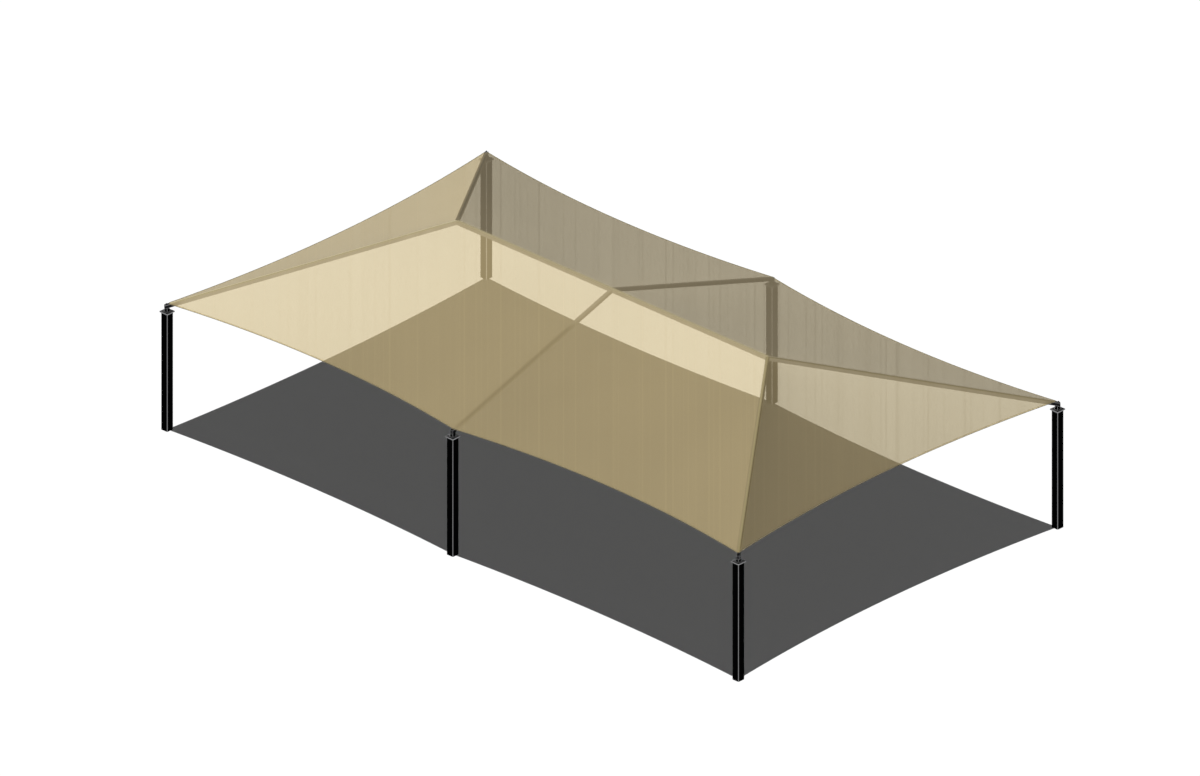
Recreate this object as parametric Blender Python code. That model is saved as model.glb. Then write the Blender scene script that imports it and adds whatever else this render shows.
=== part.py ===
"""Hip shade structure: a knitted fabric roof stretched over a steel tube frame on six square posts.

Metres, +Z up. +X runs along the ridge, -Y is the front, and the origin is on the ground at the centre
of the plan. Each piece is its own closed solid, and touching pieces keep a gap of GAP.
"""

from math import cos, pi, sin

import bmesh
import bpy
from mathutils import Matrix, Vector

INCH = 0.0254
FOOT = 0.3048

# Plan and heights
LENGTH = 60 * FOOT
WIDTH = 35 * FOOT
POST_HEIGHT = 10 * FOOT
RIDGE_TOP = 16 * FOOT + 2 * INCH
PEAK_INSET = 13.67 * FOOT

# Steel sections
POST_SIDE = 8 * INCH
POST_WALL = 0.25 * INCH
POST_RADIUS = 0.75 * INCH
RAFTER_SIDE = 3.5 * INCH
RAFTER_WALL = 0.1875 * INCH
RAFTER_RADIUS = 0.375 * INCH
PLATE_SIDE = 10 * INCH
PLATE_THICKNESS = 0.5 * INCH
PLATE_RADIUS = 0.25 * INCH
NECK_HEIGHT = 3.3 * INCH

# Four bolts through each base plate, with a round washer under a six-sided head
BOLT_REACH = 2.9 * INCH
WASHER_RADIUS = 0.73 * INCH
WASHER_HEIGHT = 0.12 * INCH
WASHER_SIDES = 16
HEAD_RADIUS = 0.65 * INCH
HEAD_HEIGHT = 0.47 * INCH

CORNER_STEPS = 3
SHARP_ANGLE = pi / 5
UPRIGHT_LIMIT = 0.01

# Fabric and its edge cables
FABRIC_THICKNESS = 0.004
BAY_SAG = 0.383
END_SAG = 0.402
SEAM_GAP = 0.001
ROWS = 8
COLUMNS = 16
CABLE_DIAMETER = 0.375 * INCH
CABLE_POINTS = 33
CABLE_START = 0.03
CABLE_LIFT = 0.0006
HEM_INSET = CABLE_DIAMETER / 2 + 0.0035
HALVINGS = 40

GAP = 0.0003

HALF_LENGTH = LENGTH / 2
HALF_WIDTH = WIDTH / 2
HALF_RIDGE = HALF_LENGTH - PEAK_INSET
HALF_SIDE = RAFTER_SIDE / 2
CAP_BOTTOM = POST_HEIGHT + GAP
BASE_BOTTOM = CAP_BOTTOM + PLATE_THICKNESS + GAP
NECK_BOTTOM = BASE_BOTTOM + PLATE_THICKNESS + GAP
HALF_SEAM = SEAM_GAP / 2
UP = Vector((0, 0, 1))

# Plan of the left front quarter, which the others mirror: the post points, and the hip rafter's directions
# along itself towards the peak and across itself towards the bay
FRONT_LEFT = Vector((-HALF_LENGTH, -HALF_WIDTH))
FRONT_MIDDLE = Vector((0, -HALF_WIDTH))
BACK_LEFT = Vector((-HALF_LENGTH, HALF_WIDTH))
HIP_RUN = Vector((PEAK_INSET, HALF_WIDTH)).length
HIP_ALONG = Vector((PEAK_INSET, HALF_WIDTH)) / HIP_RUN
HIP_ACROSS = Vector((HALF_WIDTH, -PEAK_INSET)) / HIP_RUN

# Plan signs of the corner and middle posts, with the words that name them
CORNERS = {
    "front_left": (-1, -1),
    "front_right": (1, -1),
    "back_left": (-1, 1),
    "back_right": (1, 1),
}
MIDDLES = {"front_middle": -1, "back_middle": 1}
ENDS = {"left_end": -1, "right_end": 1}


def eave_top():
    """Height of a rafter's top face over the middle of its post."""
    hip = Vector((HIP_RUN, RIDGE_TOP - NECK_BOTTOM - NECK_HEIGHT))
    depth = RAFTER_SIDE * hip.length / hip.x
    return NECK_BOTTOM + NECK_HEIGHT + GAP + depth


EAVE_TOP = eave_top()


def make_material(name, colour, roughness, metallic):
    material = bpy.data.materials.new(name)
    material.use_nodes = True
    shader = material.node_tree.nodes["Principled BSDF"]
    shader.inputs["Base Color"].default_value = (*colour, 1)
    shader.inputs["Roughness"].default_value = roughness
    shader.inputs["Metallic"].default_value = metallic
    return material


def add_object(name, mesh, material):
    part = bpy.data.objects.new(name, mesh)
    bpy.context.scene.collection.objects.link(part)
    part.data.materials.append(material)
    return part


def rounded_square(side, radius):
    """Profile points, anticlockwise, with one more at the middle of the top and of the bottom."""
    reach = side / 2 - radius
    points = []
    for quarter, (x, y) in enumerate(((1, 1), (-1, 1), (-1, -1), (1, -1))):
        for step in range(CORNER_STEPS + 1):
            angle = (quarter + step / CORNER_STEPS) * pi / 2
            points.append(Vector((x * reach + radius * cos(angle), y * reach + radius * sin(angle))))
        if quarter in (0, 2):
            points.append(Vector((0, y * side / 2)))
    return points


def cut_distance(point, direction, cuts, pick):
    """How far along the tube a line of its surface meets the nearest of the cutting planes."""
    return pick((place - point).dot(normal) / direction.dot(normal) for place, normal in cuts)


def tube_rings(profile, start, direction, start_cuts, end_cuts, inset_start, inset_end):
    """The two end rings of a profile that runs from the start cuts to the end cuts."""
    side = direction.cross(UP)
    side = side.normalized() if side.length > UPRIGHT_LIMIT else Vector((1, 0, 0))
    top = side.cross(direction)
    first, last = [], []
    for offset in profile:
        point = start + side * offset.x + top * offset.y
        low = cut_distance(point, direction, start_cuts, max) + inset_start
        high = cut_distance(point, direction, end_cuts, min) - inset_end
        first.append(point + direction * low)
        last.append(point + direction * high)
    return first, last


def bridge(mesh, ring_a, ring_b):
    count = len(ring_a)
    for i in range(count):
        j = (i + 1) % count
        mesh.faces.new((ring_a[i], ring_a[j], ring_b[j], ring_b[i]))


def add_tube(name, section, start, end, start_cuts, end_cuts, closed, material):
    """A hollow square tube whose ends are cut by planes; closed names the ends that are capped."""
    side, wall, radius = section
    direction = (end - start).normalized()
    inset_start = wall if "start" in closed else 0
    inset_end = wall if "end" in closed else 0
    outer = tube_rings(rounded_square(side, radius), start, direction, start_cuts, end_cuts, 0, 0)
    bore = rounded_square(side - 2 * wall, radius - wall)
    inner = tube_rings(bore, start, direction, start_cuts, end_cuts, inset_start, inset_end)
    shape = bmesh.new()
    outer_start, outer_end = ([shape.verts.new(point) for point in ring] for ring in outer)
    inner_start, inner_end = ([shape.verts.new(point) for point in ring] for ring in inner)
    bridge(shape, outer_start, outer_end)
    bridge(shape, inner_end, inner_start)
    for end_name, outside, inside in (
        ("start", outer_start, inner_start),
        ("end", outer_end, inner_end),
    ):
        if end_name in closed:
            shape.faces.new(outside)
            shape.faces.new(inside)
        else:
            bridge(shape, inside, outside)
    bmesh.ops.recalc_face_normals(shape, faces=shape.faces[:])
    return add_object(name, finished_mesh(name, shape), material)


def finished_mesh(name, shape):
    mesh = bpy.data.meshes.new(name)
    shape.to_mesh(mesh)
    shape.free()
    mesh.shade_smooth()
    mesh.set_sharp_from_angle(angle=SHARP_ANGLE)
    return mesh


def add_plate(name, mesh, place, material):
    plate = add_object(name, mesh, material)
    plate.location = place
    return plate


def plate_mesh():
    """A square plate with eased corners, its underside at the object's origin."""
    shape = bmesh.new()
    ring = [shape.verts.new((point.x, point.y, 0)) for point in rounded_square(PLATE_SIDE, PLATE_RADIUS)]
    bottom = shape.faces.new(ring)
    raised = bmesh.ops.extrude_face_region(shape, geom=[bottom])
    corners = [item for item in raised["geom"] if isinstance(item, bmesh.types.BMVert)]
    bmesh.ops.translate(shape, verts=corners, vec=(0, 0, PLATE_THICKNESS))
    bmesh.ops.recalc_face_normals(shape, faces=shape.faces[:])
    return finished_mesh("square_plate", shape)


def add_disc(shape, place, sides, radius, bottom, top):
    """An upright prism with a regular outline, from the bottom height to the top one."""
    middle = Vector((place.x, place.y, (bottom + top) / 2))
    bmesh.ops.create_cone(
        shape,
        cap_ends=True,
        segments=sides,
        radius1=radius,
        radius2=radius,
        depth=top - bottom,
        matrix=Matrix.Translation(middle),
    )


def bolted_plate_mesh(plate):
    """The plate joined to the washers and heads of the bolts through it, as one closed body."""
    washers, heads = bmesh.new(), bmesh.new()
    for x, y in CORNERS.values():
        place = Vector((x * BOLT_REACH, y * BOLT_REACH))
        seat = PLATE_THICKNESS + WASHER_HEIGHT
        add_disc(washers, place, WASHER_SIDES, WASHER_RADIUS, PLATE_THICKNESS / 2, seat)
        add_disc(heads, place, 6, HEAD_RADIUS, PLATE_THICKNESS / 3, seat + HEAD_HEIGHT)
    joined = bpy.data.objects.new("bolted_plate", plate)
    helpers = [joined]
    for name, shape in (("washers", washers), ("heads", heads)):
        helper = bpy.data.objects.new(name, finished_mesh(name, shape))
        helpers.append(helper)
        union = joined.modifiers.new(name, "BOOLEAN")
        union.operation = "UNION"
        union.object = helper
    for helper in helpers:
        bpy.context.scene.collection.objects.link(helper)
    evaluated = joined.evaluated_get(bpy.context.evaluated_depsgraph_get())
    mesh = bpy.data.meshes.new_from_object(evaluated)
    for helper in helpers:
        bpy.data.objects.remove(helper)
    return mesh


def rafter_frame(x, y):
    """Where the rafter over the post at (x, y) starts and ends on its axis, and its plan direction."""
    if x:
        peak = Vector((HALF_RIDGE * x / abs(x), 0))
    else:
        peak = Vector((0, HALF_SIDE * y / abs(y)))
    foot = Vector((x, y))
    run = (peak - foot).length
    along = (peak - foot) / run
    drop = RAFTER_SIDE / 2 * Vector((run, RIDGE_TOP - EAVE_TOP)).length / run
    start = Vector((x, y, EAVE_TOP - drop))
    end = Vector((peak.x, peak.y, RIDGE_TOP - drop))
    return start, end, Vector((along.x, along.y, 0))


def bisector_cut(peak, direction, other):
    """The upright plane halfway between two tubes that leave the peak, facing out of the first tube."""
    across = (other - direction).normalized()
    return peak + across * -GAP / 2, across


def add_rafter(name, x, y, material):
    """A square tube from the post at (x, y) to the ridge, capped at the eave."""
    start, end, along = rafter_frame(x, y)
    reach = HALF_SIDE * (abs(along.x) + abs(along.y))
    eave_cut = [(Vector((x, y, 0)) - along * reach, -along)]
    if x:
        towards_ridge = Vector((-x / abs(x), 0, 0))
        towards_twin = Vector((-along.x, along.y, 0))
        ridge_cut = [
            bisector_cut(end, -along, towards_ridge),
            bisector_cut(end, -along, towards_twin),
        ]
    else:
        ridge_cut = [(end - along * GAP, along)]
    section = (RAFTER_SIDE, RAFTER_WALL, RAFTER_RADIUS)
    return add_tube(name, section, start, end, eave_cut, ridge_cut, {"start"}, material)


def add_ridge(material):
    """The level ridge tube, pointed at both ends to fit between the hip rafters."""
    centre = RIDGE_TOP - HALF_SIDE
    cuts = []
    for way in (-1, 1):
        peak = Vector((HALF_RIDGE * way, 0, centre))
        inwards = Vector((-way, 0, 0))
        hips = [rafter_frame(HALF_LENGTH * way, HALF_WIDTH * side)[2] * -1 for side in (-1, 1)]
        cuts.append([bisector_cut(peak, inwards, hip) for hip in hips])
    start = Vector((-HALF_RIDGE, 0, centre))
    end = Vector((HALF_RIDGE, 0, centre))
    section = (RAFTER_SIDE, RAFTER_WALL, RAFTER_RADIUS)
    return add_tube("ridge_beam", section, start, end, cuts[0], cuts[1], set(), material)


def add_post(name, x, y, material):
    bottom = Vector((x, y, 0))
    top = Vector((x, y, POST_HEIGHT))
    section = (POST_SIDE, POST_WALL, POST_RADIUS)
    return add_tube(name, section, bottom, top, [(bottom, -UP)], [(top, UP)], set(), material)


def add_neck(name, x, y, material):
    """A short tube on the base plate, closed at the top and cut to the slope of its rafter's underside."""
    rafter_start, rafter_end, _ = rafter_frame(x, y)
    slope = (rafter_end - rafter_start).normalized()
    underside = slope.cross(UP).normalized().cross(slope)
    bottom = Vector((x, y, NECK_BOTTOM))
    top = rafter_start - underside * (HALF_SIDE + GAP)
    section = (RAFTER_SIDE, RAFTER_WALL, RAFTER_RADIUS)
    cuts = [(top, underside)]
    return add_tube(name, section, bottom, bottom + UP, [(bottom, -UP)], cuts, {"end"}, material)


def bay_edge(share, inset):
    """A plan point of the left front bay's hollow edge, moved in from the cable by the inset."""
    sag = 4 * BAY_SAG * share * (1 - share)
    return FRONT_LEFT.lerp(FRONT_MIDDLE, share) + Vector((0, sag + inset))


def end_edge(share, inset):
    """A plan point of the left end's hollow edge, moved in from the cable by the inset."""
    sag = 4 * END_SAG * share * (1 - share)
    return FRONT_LEFT.lerp(BACK_LEFT, share) + Vector((sag + inset, 0))


def crossing(edge, inset, side, offset):
    """The share at which an edge is this far to one side of the left front hip rafter's axis."""
    low, high = 0.0, 0.5
    for _ in range(HALVINGS):
        middle = (low + high) / 2
        if (edge(middle, inset) - FRONT_LEFT).dot(HIP_ACROSS) * side < offset:
            low = middle
        else:
            high = middle
    return low


def lifted(point, height):
    return Vector((point.x, point.y, height))


def on_hip(point):
    """The point of the left front hip rafter's top face above a plan point."""
    rise = (RIDGE_TOP - EAVE_TOP) / HIP_RUN
    return lifted(point, EAVE_TOP + rise * (point.xy - FRONT_LEFT).dot(HIP_ALONG))


def on_middle(point):
    """The point of the front middle rafter's top face above a plan point."""
    rise = (RIDGE_TOP - EAVE_TOP) / (HALF_WIDTH - HALF_SIDE)
    return lifted(point, EAVE_TOP + rise * (point.y + HALF_WIDTH))


def patch_rows(left, right, bottom_edge):
    """Rows of points between two straight sides; the lowest row's curve fades out upwards."""
    rows = []
    for row in range(ROWS + 1):
        rise = row / ROWS
        first = left[0].lerp(left[1], rise)
        last = right[0].lerp(right[1], rise)
        points = []
        for column in range(COLUMNS + 1):
            share = column / COLUMNS
            sagged = bottom_edge(share) - left[0].lerp(right[0], share)
            points.append(first.lerp(last, share) + sagged * (1 - rise))
        rows.append(points)
    return rows


def hip_strip(rows, tip, side):
    """Adds the points of the seam over the hip rafter before each row, level with the rafter's edge."""
    for row, points in enumerate(rows):
        foot = points[0].xy - HIP_ACROSS * side * (HALF_SIDE - HALF_SEAM)
        points.insert(0, lifted(foot, points[0].z) if row else tip)


def bay_rows():
    """Rows of the left front bay's panel, with flat strips along the three tubes it lies on."""
    first = crossing(bay_edge, HEM_INSET, 1, HALF_SIDE)
    last = 1 - HALF_SIDE / HALF_LENGTH
    low_left = on_hip(bay_edge(first, HEM_INSET))
    low_right = on_middle(bay_edge(last, HEM_INSET))

    def bottom(share):
        point = bay_edge(first + (last - first) * share, HEM_INSET)
        return lifted(point, low_left.z + (low_right.z - low_left.z) * share)

    ridge_end_x = -HALF_RIDGE + HALF_SIDE * (HIP_RUN - PEAK_INSET) / HALF_WIDTH
    left = (low_left, Vector((ridge_end_x, -HALF_SIDE, RIDGE_TOP)))
    right = (low_right, Vector((-HALF_SIDE, -HALF_SIDE, RIDGE_TOP)))
    rows = patch_rows(left, right, bottom)
    tip = on_hip(bay_edge(crossing(bay_edge, HEM_INSET, 1, HALF_SEAM), HEM_INSET))
    hip_strip(rows, tip, 1)
    for row, points in enumerate(rows):
        beside = Vector((-HALF_SEAM, points[-1].y, points[-1].z))
        points.append(beside if row else on_middle(bay_edge(1 - HALF_SEAM / HALF_LENGTH, HEM_INSET)))
    ridge = [Vector((point.x, -HALF_SEAM, RIDGE_TOP)) for point in rows[-1]]
    ridge[0].x = -HALF_RIDGE + HALF_SEAM
    return rows + [ridge]


def end_rows():
    """Rows of the left end's panel, a triangle with flat strips along its two hip rafters."""
    first = crossing(end_edge, HEM_INSET, -1, HALF_SIDE)
    low = on_hip(end_edge(first, HEM_INSET))

    def bottom(share):
        return lifted(end_edge(first + (1 - 2 * first) * share, HEM_INSET), low.z)

    apex = on_hip(Vector((-HALF_RIDGE - HALF_SIDE * HIP_RUN / HALF_WIDTH, 0)))
    rows = patch_rows((low, apex), (Vector((low.x, -low.y, low.z)), apex), bottom)
    tip = on_hip(end_edge(crossing(end_edge, HEM_INSET, -1, HALF_SEAM), HEM_INSET))
    hip_strip(rows, tip, -1)
    for points in rows:
        points.append(Vector((points[0].x, -points[0].y, points[0].z)))
    peak = Vector((-HALF_RIDGE - HALF_SEAM, 0, RIDGE_TOP))
    return rows + [[peak] * len(rows[0])]


def add_panel(name, rows, x_sign, y_sign, material):
    """A fabric panel over the mirrored rows, GAP above the tubes, thickened upwards."""
    shape = bmesh.new()
    grid = [
        [shape.verts.new((point.x * x_sign, point.y * y_sign, point.z + GAP)) for point in row]
        for row in rows
    ]
    for lower, upper in zip(grid, grid[1:]):
        for i in range(len(lower) - 1):
            shape.faces.new((lower[i], lower[i + 1], upper[i + 1], upper[i]))
    bmesh.ops.remove_doubles(shape, verts=shape.verts[:], dist=GAP / 10)
    shape.normal_update()
    if sum(face.normal.z for face in shape.faces) < 0:
        bmesh.ops.reverse_faces(shape, faces=shape.faces[:])
    panel = add_object(name, finished_mesh(name, shape), material)
    solid = panel.modifiers.new("Thickness", "SOLIDIFY")
    solid.thickness = FABRIC_THICKNESS
    solid.offset = 1
    return panel


def cable_span(edge, first, last, low, high):
    """Points of an edge cable between the tubes, with its height changing evenly from low to high."""
    points = []
    for step in range(CABLE_POINTS):
        share = step / (CABLE_POINTS - 1)
        points.append(lifted(edge(first + (last - first) * share, 0), low + (high - low) * share))
    return points


def bay_cable():
    """The left front bay's cable, along the tops of the hip rafter and the middle rafter at its ends."""
    start = CABLE_START / HALF_LENGTH
    first = crossing(bay_edge, 0, 1, HALF_SIDE)
    last = 1 - HALF_SIDE / HALF_LENGTH
    low = on_hip(bay_edge(first, 0)).z
    high = on_middle(bay_edge(last, 0)).z
    span = cable_span(bay_edge, first, last, low, high)
    return [on_hip(bay_edge(start, 0))] + span + [on_middle(bay_edge(1 - start, 0))]


def end_cable():
    """The left end's cable, along the tops of both hip rafters at its ends."""
    first = crossing(end_edge, 0, -1, HALF_SIDE)
    low = on_hip(end_edge(first, 0)).z
    tail = on_hip(end_edge(CABLE_START / WIDTH, 0))
    span = cable_span(end_edge, first, 1 - first, low, low)
    return [tail] + span + [Vector((tail.x, -tail.y, tail.z))]


def add_cable(name, path, x_sign, y_sign, material):
    """A round steel cable over the mirrored path, resting on the tubes."""
    curve = bpy.data.curves.new(name, "CURVE")
    curve.dimensions = "3D"
    curve.bevel_depth = CABLE_DIAMETER / 2
    curve.bevel_resolution = 2
    curve.use_fill_caps = True
    spline = curve.splines.new("POLY")
    spline.points.add(len(path) - 1)
    for knot, point in zip(spline.points, path):
        height = point.z + CABLE_DIAMETER / 2 + CABLE_LIFT
        knot.co = (point.x * x_sign, point.y * y_sign, height, 1)
    return add_object(name, curve, material)


def build_canopy(fabric, steel):
    """The panels and cables of the left front bay and left end, mirrored to the other bays and end."""
    panel, cable = bay_rows(), bay_cable()
    for name, (x, y) in CORNERS.items():
        add_panel(f"canopy_{name}", panel, -x, -y, fabric)
        add_cable(f"edge_cable_{name}", cable, -x, -y, steel)
    panel, cable = end_rows(), end_cable()
    for name, x in ENDS.items():
        add_panel(f"canopy_{name}", panel, -x, 1, fabric)
        add_cable(f"edge_cable_{name}", cable, -x, 1, steel)


def build_frame(post_paint, frame_paint):
    plate = plate_mesh()
    bolted_plate = bolted_plate_mesh(plate)
    places = {name: (HALF_LENGTH * x, HALF_WIDTH * y) for name, (x, y) in CORNERS.items()}
    places.update({name: (0, HALF_WIDTH * y) for name, y in MIDDLES.items()})
    for name, (x, y) in places.items():
        add_post(f"post_{name}", x, y, post_paint)
        add_plate(f"cap_plate_{name}", plate, (x, y, CAP_BOTTOM), post_paint)
        add_plate(f"base_plate_{name}", bolted_plate, (x, y, BASE_BOTTOM), frame_paint)
        add_neck(f"neck_{name}", x, y, frame_paint)
        add_rafter(f"rafter_{name}", x, y, frame_paint)
    add_ridge(frame_paint)


def main():
    for old in list(bpy.data.objects):
        bpy.data.objects.remove(old)
    post_paint = make_material("post_black", (0.008, 0.008, 0.009), 0.45, 0)
    frame_paint = make_material("frame_black", (0.01, 0.01, 0.011), 0.5, 0)
    fabric = make_material("sand_fabric", (0.55, 0.44, 0.23), 0.9, 0)
    cable_steel = make_material("cable_steel", (0.45, 0.45, 0.44), 0.4, 1)
    build_frame(post_paint, frame_paint)
    build_canopy(fabric, cable_steel)


main()
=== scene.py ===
"""Looks of the hip shade structure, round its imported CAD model: metres, +Z up, the front is -Y."""

from math import cos, pi, radians, sin

import bmesh
import bpy
from mathutils import Matrix, Vector


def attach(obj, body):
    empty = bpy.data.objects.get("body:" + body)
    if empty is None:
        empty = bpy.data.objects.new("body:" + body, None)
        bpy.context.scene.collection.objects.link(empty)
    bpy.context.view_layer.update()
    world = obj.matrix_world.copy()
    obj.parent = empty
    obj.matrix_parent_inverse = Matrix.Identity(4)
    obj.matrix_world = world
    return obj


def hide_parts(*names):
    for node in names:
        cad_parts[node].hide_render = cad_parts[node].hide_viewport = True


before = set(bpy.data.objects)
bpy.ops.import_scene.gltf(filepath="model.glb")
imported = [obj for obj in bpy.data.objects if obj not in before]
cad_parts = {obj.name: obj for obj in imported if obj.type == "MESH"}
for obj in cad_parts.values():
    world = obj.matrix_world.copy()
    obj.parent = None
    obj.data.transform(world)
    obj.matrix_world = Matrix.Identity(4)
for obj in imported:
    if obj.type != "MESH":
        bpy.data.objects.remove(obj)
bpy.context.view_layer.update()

INCH = 0.0254
FOOT = 0.3048

# Plan, heights and sections, as in the CAD model
LENGTH = 60 * FOOT
WIDTH = 35 * FOOT
POST_HEIGHT = 10 * FOOT
RIDGE_TOP = 16 * FOOT + 2 * INCH
PEAK_INSET = 13.67 * FOOT
POST_SIDE = 8 * INCH
POST_RADIUS = 0.75 * INCH
RAFTER_SIDE = 3.5 * INCH
RAFTER_RADIUS = 0.375 * INCH
PLATE_SIDE = 10 * INCH
PLATE_THICKNESS = 0.5 * INCH
PLATE_RADIUS = 0.25 * INCH
NECK_HEIGHT = 3.3 * INCH
BOLT_REACH = 2.9 * INCH
WASHER_RADIUS = 0.73 * INCH
WASHER_HEIGHT = 0.12 * INCH
HEAD_RADIUS = 0.65 * INCH
HEAD_HEIGHT = 0.47 * INCH
BAY_SAG = 0.383
END_SAG = 0.402
CABLE_DIAMETER = 0.375 * INCH
CABLE_START = 0.03
CABLE_LIFT = 0.0006
GAP = 0.0003
HALVINGS = 40

HALF_LENGTH = LENGTH / 2
HALF_WIDTH = WIDTH / 2
HALF_RIDGE = HALF_LENGTH - PEAK_INSET
HALF_SIDE = RAFTER_SIDE / 2
CAP_BOTTOM = POST_HEIGHT + GAP
BASE_BOTTOM = CAP_BOTTOM + PLATE_THICKNESS + GAP
NECK_BOTTOM = BASE_BOTTOM + PLATE_THICKNESS + GAP
UP = Vector((0, 0, 1))
FRONT_LEFT = Vector((-HALF_LENGTH, -HALF_WIDTH))
FRONT_MIDDLE = Vector((0, -HALF_WIDTH))
BACK_LEFT = Vector((-HALF_LENGTH, HALF_WIDTH))
HIP_RUN = Vector((PEAK_INSET, HALF_WIDTH)).length
HIP_ALONG = Vector((PEAK_INSET, HALF_WIDTH)) / HIP_RUN
HIP_ACROSS = Vector((HALF_WIDTH, -PEAK_INSET)) / HIP_RUN
EAVE_TOP = (
    NECK_BOTTOM + NECK_HEIGHT + GAP
    + RAFTER_SIDE * Vector((HIP_RUN, RIDGE_TOP - NECK_BOTTOM - NECK_HEIGHT)).length / HIP_RUN
)
HIP_RISE = (RIDGE_TOP - EAVE_TOP) / HIP_RUN
MIDDLE_RISE = (RIDGE_TOP - EAVE_TOP) / (HALF_WIDTH - HALF_SIDE)

# The cloth: its height over the tubes, how far inside the cables it stops, its folds, its dip and its rows
CLOTH_LIFT = 0.0012
CLOTH_INSET = 0.030
FOLD_RADIUS = 0.012
BAY_FOLD = 0.19
DIP = 0.02
TIP_STATION = 0.052
FIRST_STATION = 0.20
END_STATION = HIP_RUN - HALF_SIDE * PEAK_INSET / HALF_WIDTH
RIDGE_STATION = (
    HIP_RUN - HALF_SIDE * (HALF_WIDTH - (HIP_RUN - PEAK_INSET) * PEAK_INSET / HALF_WIDTH) / HIP_RUN
)
STATION_ROWS = 32
STRIP = (0, HALF_SIDE / 2, HALF_SIDE - FOLD_RADIUS, HALF_SIDE - FOLD_RADIUS / 2)
NEAR_FOLD = (0, 0.0009, 0.002, 0.006, 0.014)
BAY_COLUMNS = 44
END_COLUMNS = 24
RIDGE_STEPS = (0, 0.14, 0.28, 0.6, 1)
PEAK_LIFT_START = 6.3
HIP_CREASE = 0.009
CREASE_RUN = 0.35

# The hem: its first sections over the hip rafter, the points of its flaps (how far in over the cloth, and
# their height in flap heights), and its loop round the cable
HEM_PARTS = (0.6, 0.8, 1)
FLAP_OVERLAP = 0.008
FLAP_BEFORE = 0.006
FLAP_HEIGHT = 0.0008
FLAP_OVER = ((FLAP_OVERLAP, 0.8), (0, 1), (-FLAP_BEFORE, 1.3))
FLAP_UNDER = ((-FLAP_BEFORE, -1), (0, -1), (FLAP_OVERLAP, -0.8))
LOOP_RADIUS = CABLE_DIAMETER / 2 + 0.0005
LOOP_ANGLES = (130, 100, 70, 40, 10, -20, -50, -80, -110, -135)

# Doubled seam bands over the ridge and the hips: offsets from their middle, with heights over the cloth
SEAM_START = TIP_STATION + 0.02
SEAM_HALF = 0.040
SEAM_HEIGHT = 0.0016
SEAM_SIDE = (
    (0, SEAM_HEIGHT * 1.3), (0.004, SEAM_HEIGHT), (SEAM_HALF * 0.6, SEAM_HEIGHT),
    (SEAM_HALF - 0.007, SEAM_HEIGHT * 0.8), (SEAM_HALF - 0.002, SEAM_HEIGHT * 0.75), (SEAM_HALF, 0.0003),
)
SEAM_PROFILE = [(-offset, height) for offset, height in SEAM_SIDE[:0:-1]] + list(SEAM_SIDE)
RIDGE_SEAM_STEPS = 60

# Sewing thread over the hems and seams
STITCH_PITCH = 0.02
STITCH_LENGTH = 0.015
STITCH_WIDTH = 0.0028
STITCH_HEIGHT = 0.0011
HEM_STITCH = 0.45
SEAM_STITCH = 0.034
STITCH_MARGIN = 0.05
PEAK_MARGIN = 0.04
STITCH_STEPS = 40

# Weld beads, with the points of their section out from the joint and along its toe
WELD_SIZE = 0.0055
WELD_PITCH = 0.004
WELD_RIPPLE = 0.14
WELD_SECTION = ((-0.2, -0.15), (1.0, -0.1), (0.86, 0.5), (0.5, 0.86), (-0.1, 1.0), (-0.2, 0.4))

# Eased edges of the plates, washers and bolt heads
PLATE_BEVEL = 0.0016
WASHER_EASE = 0.0006
HEAD_EASE = 0.0016
HEAD_NARROWS = 0.86
HEAD_TURN = 0.4
BOLT_SINK = 0.001

# The pin at each corner, its collar, washer and nut: sides, turn, and heights over its foot with radii
ANCHOR_BACK = 0.02
PIN_RADIUS = 0.0075
EYE_RADIUS = 0.0135
PIN_PARTS = (
    (20, 0, ((-0.002, PIN_RADIUS), (0.03, PIN_RADIUS), (0.032, PIN_RADIUS * 0.8))),
    (24, 0, ((-0.002, PIN_RADIUS * 1.9), (0.0015, PIN_RADIUS * 1.9), (0.003, PIN_RADIUS * 1.4))),
    (28, 0, ((0.0215, EYE_RADIUS), (0.0225, EYE_RADIUS * 1.04), (0.0238, EYE_RADIUS))),
    (6, 0.3, ((0.0236, PIN_RADIUS * 1.6), (0.029, PIN_RADIUS * 1.6), (0.0302, PIN_RADIUS * 1.4))),
)

# The cables' eyes on the pin, and the sleeves pressed on them: places along a sleeve, and sizes there
EYE_STEPS = 20
EYE_OPENING = 28
EYE_NECK = 0.006
EYE_SPACING = CABLE_DIAMETER * 1.05
ROPE_SIDES = 10
SLEEVE_RADIUS = 0.0078
SLEEVE_SIDES = 14
SLEEVE_BEFORE = 0.004
SLEEVE_SPARE = 0.006
SLEEVE_STOPS = (0, 0.002, 0.006, 0.5, 0.93, 0.98, 1)
SLEEVE_SIZES = (0.3, 0.8, 1, 1, 1, 0.85, 0.6)

POSTS = {
    "front_left": (-1, -1),
    "front_middle": (0, -1),
    "front_right": (1, -1),
    "back_left": (-1, 1),
    "back_middle": (0, 1),
    "back_right": (1, 1),
}

PLACES = {name: Vector((x * HALF_LENGTH, y * HALF_WIDTH)) for name, (x, y) in POSTS.items()}

# The camera of the photograph, which has no perspective
VIEW_ELEVATION = 27.18
VIEW_AZIMUTH = 43.77
VIEW_WIDTH = 27.743
VIEW_SHIFT = (-0.28529, 2.0842)
VIEW_DISTANCE = 60
VIEW_DEPTH = 400


# Shapes of the cloth

def lifted(point, height):
    return Vector((point.x, point.y, height))


def bay_edge(share, inset):
    """A plan point of the left front bay's hollow edge, moved in from the cable by the inset."""
    sag = 4 * BAY_SAG * share * (1 - share)
    return FRONT_LEFT.lerp(FRONT_MIDDLE, share) + Vector((0, sag + inset))


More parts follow.
